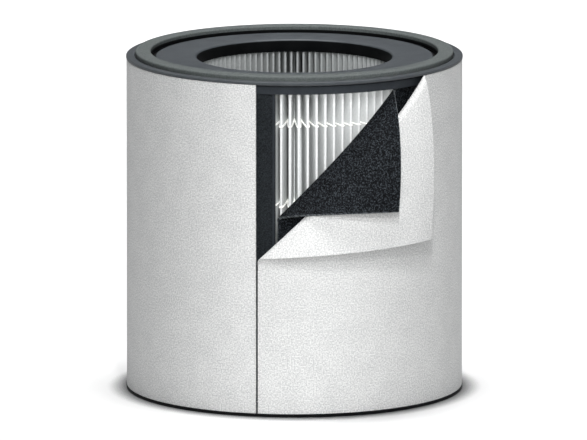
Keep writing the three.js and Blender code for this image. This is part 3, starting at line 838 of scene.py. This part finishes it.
def wrap_piece(name, fold, end_degrees, near=60, far=240, rows=60):
    """The rest of the sheet round the drum, with its corner cut away along the fold.

    The upper edge lies lower by b (1 - angle / the fold's angle) until the fold meets the
    sheet's top edge. Returns the piece and the sheet's whole length, angle times radius.
    """
    fold_degrees = math.degrees(fold["a"] / fold["R"])
    total = end_degrees - fold["at"]
    share = np.concatenate([np.linspace(0, fold_degrees, near, endpoint=False),
                            np.linspace(fold_degrees, total, far)])
    drop = np.maximum(0, fold["b"] * (1 - share / fold_degrees))
    A = np.broadcast_to(share[:, None], (near + far, rows))
    Z = fold["z0"] + (fold["top"] - drop - fold["z0"])[:, None] * np.linspace(0, 1, rows)[None, :]
    u, v = np.radians(A) * fold["R"], fold["top"] - Z
    middle = on_arc(np.full_like(Z, fold["R"]), fold["at"] + A, Z)
    made = sheet_piece(name, middle, np.stack([u, v], -1), fold["T"])
    return made, math.radians(total) * fold["R"]


SEAM_GAP = 1.6
FABRIC_END = 360 + SEAM_AT - math.degrees(SEAM_GAP / FABRIC_R)
CARBON_END = 360 + STAVE_FROM - CARBON_CLEAR
fabric_wrap, fabric_long = wrap_piece("prefilter_fabric", FOLDS["fabric"], FABRIC_END)
fabric_corner = corner_piece("prefilter_fabric_corner", FOLDS["fabric"])
carbon_wrap, carbon_long = wrap_piece("carbon_sheet", FOLDS["carbon"], CARBON_END)
carbon_corner = corner_piece("carbon_sheet_corner", FOLDS["carbon"])

# %% [markdown]
# The wraps ride on the drum. The corners keep their place baked into their meshes, with no body of
# their own.

# %% Materials, the wraps' body, and the corners baked in place
for made, slot, skin in (
        (fabric_wrap, "prefilter_fabric", fabric_skin),
        (fabric_corner, "prefilter_fabric", fabric_skin),
        (carbon_wrap, "carbon_sheet", carbon_skin),
        (carbon_corner, "carbon_sheet", carbon_skin)):
    made.data.materials.append(skin)
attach(fabric_wrap, "drum")
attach(carbon_wrap, "drum")
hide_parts("prefilter_wrap")
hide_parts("carbon_wrap")
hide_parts("prefilter_bend", "prefilter_flap")
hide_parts("carbon_bend", "carbon_flap")
for key, made, body in (
        ("fabric", fabric_corner, "fabric_corner"),
        ("carbon", carbon_corner, "carbon_corner")):
    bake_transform(made)
for key, wrapped, corner, long in (
        ("fabric", fabric_wrap, fabric_corner, fabric_long),
        ("carbon", carbon_wrap, carbon_corner, carbon_long)):
    a, b, high = FOLDS[key]["a"], FOLDS[key]["b"], FOLDS[key]["top"] - FOLDS[key]["z0"]

# %% [markdown]
# ## CAD nodes that stay
# The potting glue, the splice tape, the three hidden staves and their tapes have the right
# shape already. They only need their material.

# %% Materials of the CAD nodes that stay
KEPT = {
    "glue_ring_top": glue_skin, "glue_ring_bottom": glue_skin, "splice_tape": media_skin,
    "stave_right": moulded["abs_dark_grey"], "stave_back": moulded["abs_dark_grey"],
    "stave_left": moulded["abs_dark_grey"], "hook_tape_right": tape_skins["nylon_hook_tape"],
    "hook_tape_back": tape_skins["nylon_hook_tape"], "hook_tape_left": tape_skins["nylon_hook_tape"],
    "loop_tape": tape_skins["nylon_loop_tape"],
}
for node_name, skin in KEPT.items():
    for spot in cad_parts[node_name].material_slots:
        spot.material = skin

# %% [markdown]
# ## Floor, light and camera
# The drum stands on a plain white floor that fills the background. So much light falls on it
# that the shade close under the drum would wash out, so the floor's tone drops where the drum
# hides part of the sky, within 16 mm of it. The light is a studio's: three tall narrow soft
# boxes in front, one above another, which let the fabric darken quickly towards both sides; a
# wide one behind; a broad round light overhead that whitens the floor; and a dim even sky.
# The camera has a very long lens, which flattens the perspective almost to a drawing's.

# %% Stage
floor_skin, tree, shader = new_material("white_floor", Roughness=0.95)
open_sky = add_node(tree, "ShaderNodeAmbientOcclusion", {"Distance": 0.016}, samples=8)
contact = add_node(tree, "ShaderNodeMath", {0: open_sky.outputs["AO"], 1: 2.4}, operation="POWER")
floor_tone = add_node(tree, "ShaderNodeMix",
                      {"Factor": contact.outputs[0], 6: linear("202224"), 7: linear("cfcfcf")},
                      data_type="RGBA")
tree.links.new(floor_tone.outputs[2], shader.inputs["Base Color"])
shader.inputs["Specular IOR Level"].default_value = 0.0
floor_mesh = bpy.data.meshes.new("floor")
floor_mesh.from_pydata([(-30, -30, 0), (30, -30, 0), (30, 60, 0), (-30, 60, 0)], [], [(0, 1, 2, 3)])
floor = bpy.data.objects.new("floor", floor_mesh)
floor.data.materials.append(floor_skin)
bpy.context.scene.collection.objects.link(floor)

scene = bpy.context.scene
scene.view_settings.view_transform = "Standard"
scene.view_settings.look = "None"
world = bpy.data.worlds.new("studio")
scene.world = world
world.use_nodes = True
world.node_tree.nodes["Background"].inputs["Color"].default_value = linear("f0f6ff")
world.node_tree.nodes["Background"].inputs["Strength"].default_value = 0.08


def soft_box(name, position, target, size, power, spread):
    """Area light of a given width and height in metres, turned towards a target.

    A grid in front of it lets out light only within half the spread, in degrees, on each side.
    The lamp itself shows neither to the camera nor in reflections.
    """
    lamp = bpy.data.lights.new(name, "AREA")
    lamp.shape, lamp.size, lamp.size_y = "RECTANGLE", *size
    lamp.energy, lamp.spread = power, math.radians(spread)
    made = bpy.data.objects.new(name, lamp)
    made.location = position
    aim = np.array(target, float) - np.array(position, float)
    made.rotation_euler = Vector(aim).to_track_quat("-Z", "Y").to_euler()
    made.visible_camera = made.visible_glossy = False
    scene.collection.objects.link(made)
    return made


BOX_AWAY, BOX_TURN, BOX_HIGH = 2.1, math.radians(3.0), 0.13
FRONT_SIZE, FRONT_POWER, FRONT_SPREAD = (0.12, 0.9), 0.295, 13
for elevation in (12, 25, 38):
    flat = BOX_AWAY * math.cos(math.radians(elevation))
    up = BOX_HIGH + BOX_AWAY * math.sin(math.radians(elevation))
    place = (flat * math.sin(BOX_TURN), -flat * math.cos(BOX_TURN), up)
    soft_box(f"front_box_{elevation}", place, (0.01, 0, BOX_HIGH), FRONT_SIZE, FRONT_POWER,
             FRONT_SPREAD)
soft_box("back_box", (0, BOX_AWAY, 1.0), (0, 0, BOX_HIGH), (1.2, 0.9), 14, 180)
ceiling = bpy.data.lights.new("ceiling_light", "SUN")
ceiling.energy, ceiling.angle = 4.5, math.radians(26)
overhead = bpy.data.objects.new("ceiling_light", ceiling)
overhead.location = (0, 0, 3)
scene.collection.objects.link(overhead)

ELEVATION, LENS, SENSOR, FRAME_WIDTH = math.radians(10.27), 1000.0, 36.0, 0.45393
aim_point = np.array([-0.0007, 0.0, 0.13048])
distance = FRAME_WIDTH * LENS / SENSOR
camera = bpy.data.objects.new("camera", bpy.data.cameras.new("camera"))
camera.data.lens, camera.data.sensor_width = LENS, SENSOR
camera.data.clip_end = 100
camera.location = aim_point + distance * np.array([0, -math.cos(ELEVATION), math.sin(ELEVATION)])
camera.rotation_euler = (math.pi / 2 - ELEVATION, 0, 0)
scene.collection.objects.link(camera)
scene.camera = camera
print(f"camera {distance:.2f} m away")
